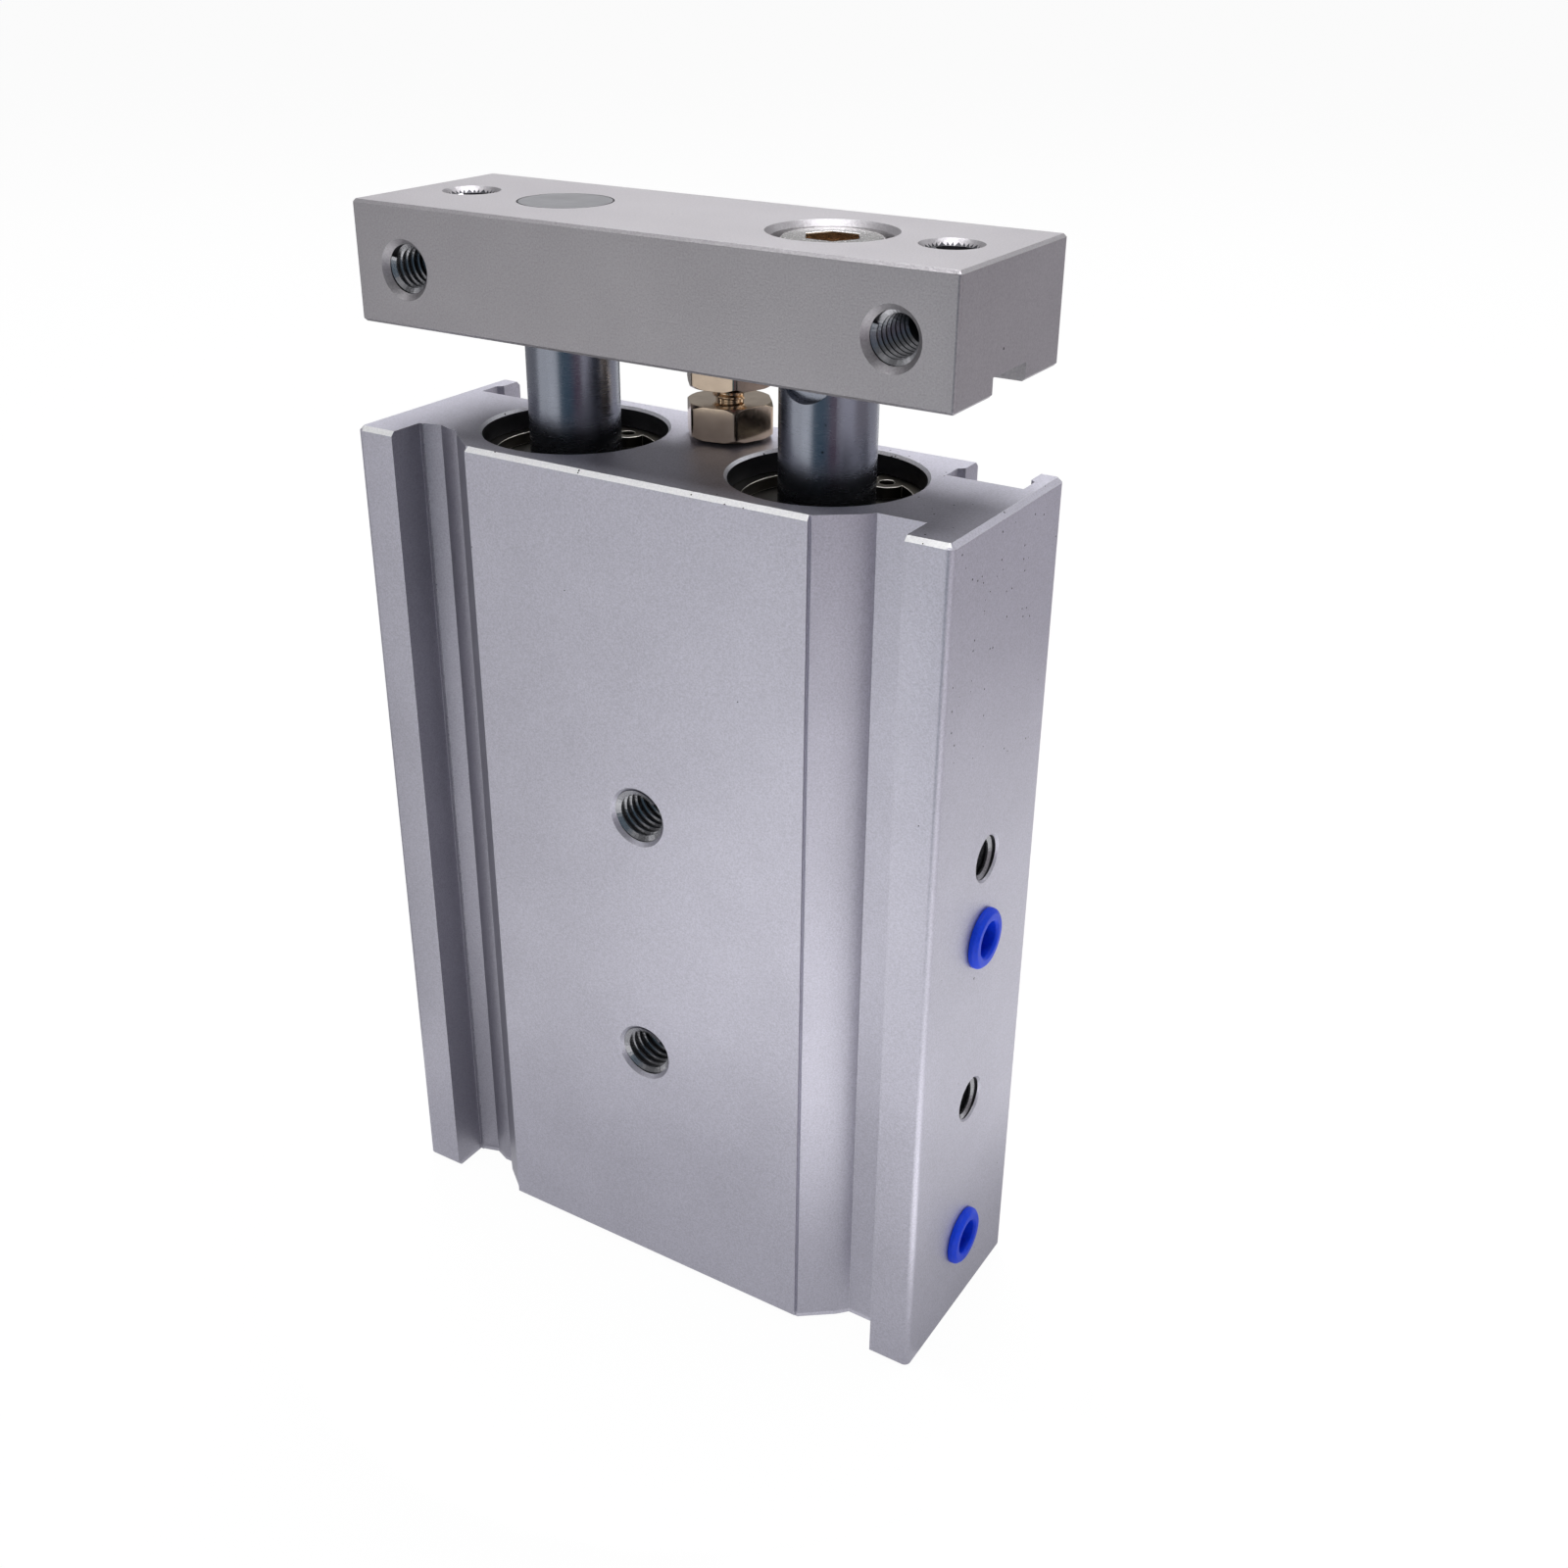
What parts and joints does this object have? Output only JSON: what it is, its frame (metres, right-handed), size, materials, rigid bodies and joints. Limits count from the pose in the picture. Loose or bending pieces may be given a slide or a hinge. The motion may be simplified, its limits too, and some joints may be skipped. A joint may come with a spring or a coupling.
{
  "type": "guided pneumatic cylinder",
  "caption": "Flat guided air cylinder: twin piston rods carry an end plate out of an extruded housing, with a screw-set bumper stop, tapped mounting holes, switch slots and plugged ports.",
  "frame": {"origin": "middle of the housing's bottom face", "axes": "+Z along the rods, in the direction they extend; +X towards the side with the ports; -Y towards the front with the two large tapped holes"},
  "size_m": [0.0588, 0.02, 0.099],
  "materials": {
    "anodised_aluminium": "bead blasted and clear anodised, satin",
    "blue_plastic": "moulded soft plastic",
    "spring_steel": "phosphated spring steel, oiled",
    "bearing_alloy": "turned bearing alloy",
    "machined_aluminium": "turned",
    "seal_rubber": "moulded nitrile rubber",
    "nickel_plated_steel": "nickel plated, bright",
    "blackened_steel": "blackened",
    "chromed_rod": "ground and hard chromed",
    "magnet_rubber": "rubber bonded magnet",
    "bumper_urethane": "cast urethane"
  },
  "bodies": {
    "cylinder_body": {"housing": "anodised_aluminium", "port_plug_lower": "blue_plastic", "port_plug_upper": "blue_plastic", "rod_snap_ring_left": "spring_steel", "head_snap_ring_left": "spring_steel", "rod_cover_left": "bearing_alloy", "seal_support_left": "machined_aluminium", "rod_seal_left": "seal_rubber", "rod_cover_o_ring_left": "seal_rubber", "head_cover_left": "machined_aluminium", "head_cover_o_ring_left": "seal_rubber", "rod_snap_ring_right": "spring_steel", "head_snap_ring_right": "spring_steel", "rod_cover_right": "bearing_alloy", "seal_support_right": "machined_aluminium", "rod_seal_right": "seal_rubber", "rod_cover_o_ring_right": "seal_rubber", "head_cover_right": "machined_aluminium", "head_cover_o_ring_right": "seal_rubber"},
    "carriage": {"end_plate": "anodised_aluminium", "rod_cap_screw": "nickel_plated_steel", "rod_set_screw": "blackened_steel", "lock_nut": "nickel_plated_steel", "piston_rod_left": "chromed_rod", "piston_left": "machined_aluminium", "piston_seal_left": "seal_rubber", "magnet_ring_left": "magnet_rubber", "rod_bumper_left": "bumper_urethane", "head_bumper_left": "bumper_urethane", "piston_rod_right": "chromed_rod", "piston_right": "machined_aluminium", "piston_seal_right": "seal_rubber", "magnet_ring_right": "magnet_rubber", "rod_bumper_right": "bumper_urethane", "head_bumper_right": "bumper_urethane"},
    "stop_bolt": {"bumper_bolt": "nickel_plated_steel", "bumper_pad": "bumper_urethane"}
  },
  "joints": [
    {"name": "rod_slide", "type": "slide", "parent": "cylinder_body", "child": "carriage", "axis": [0, 0, 1], "range_m": [0, 0.02]},
    {"name": "stop_adjust", "type": "slide", "parent": "carriage", "child": "stop_bolt", "axis": [0, 0, 1], "range_m": [0, 0.0013]}
  ]
}
